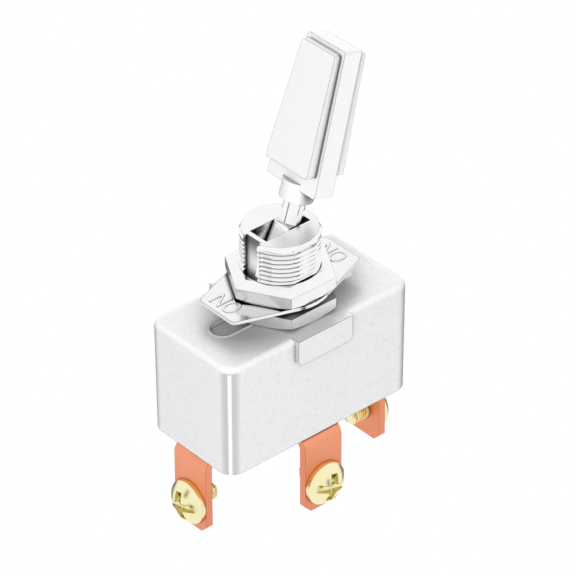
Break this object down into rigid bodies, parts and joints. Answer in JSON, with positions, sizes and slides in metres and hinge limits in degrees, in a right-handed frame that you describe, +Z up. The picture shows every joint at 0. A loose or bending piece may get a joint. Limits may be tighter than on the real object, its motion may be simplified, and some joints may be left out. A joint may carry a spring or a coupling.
{
  "type": "panel toggle switch",
  "caption": "Panel toggle switch with a white paddle lever, threaded bushing with nuts and an indicator plate, a moulded case and screw terminals.",
  "frame": {"origin": "on the threaded bushing's axis, level with the top face of the case", "axes": "+Z up the bushing, +X along the case towards the side the lever leans to, -Y towards the middle terminal and the bushing's flat"},
  "size_m": [0.0402, 0.0218, 0.0726],
  "materials": {
    "case_plastic": "matte, finely speckled",
    "base_plastic": "matte",
    "nickel": "bright nickel plate",
    "steel": "plain",
    "paddle_plastic": "semi-gloss white",
    "plunger_plastic": "natural",
    "brass": "bright",
    "contact_metal": "satin silver",
    "copper": "bright copper"
  },
  "bodies": {
    "switch_body": {"housing": "case_plastic", "terminal_base": "base_plastic", "bushing": "nickel", "lower_nut": "nickel", "upper_nut": "nickel", "indicator_plate": "nickel", "pivot_pin": "steel", "fulcrum_bracket": "brass", "fixed_contact_left": "contact_metal", "fixed_contact_right": "contact_metal", "centre_rivet": "brass", "terminal_left": "copper", "terminal_middle": "copper", "terminal_right": "copper", "screw_left": "brass", "screw_middle": "brass", "screw_right": "brass"},
    "lever_body": {"lever": "nickel", "paddle": "paddle_plastic", "plunger_spring": "steel"},
    "plunger_body": {"plunger": "plunger_plastic"},
    "rocker_body": {"rocker": "brass", "rocker_contact_left": "contact_metal", "rocker_contact_right": "contact_metal"}
  },
  "joints": [
    {"name": "lever_tilt", "type": "hinge", "parent": "switch_body", "child": "lever_body", "pos_m": [0, 0, 0.007], "axis": [0, 1, 0], "range_deg": [-35.4, 0]},
    {"name": "plunger_slide", "type": "slide", "parent": "lever_body", "child": "plunger_body", "axis": [0.304, 0, 0.9527], "range_m": [0, 0.0008], "stiffness_N_per_m": 300, "springref_m": -0.002, "deforming": ["plunger_spring"]},
    {"name": "rocker_tilt", "type": "hinge", "parent": "switch_body", "child": "rocker_body", "pos_m": [0, 0, -0.01478], "axis": [0, 1, 0], "range_deg": [0, 11.8]}
  ],
  "couplings": [
    {"joint": "rocker_tilt", "follows": "lever_tilt", "ratio": -0.33333}
  ]
}
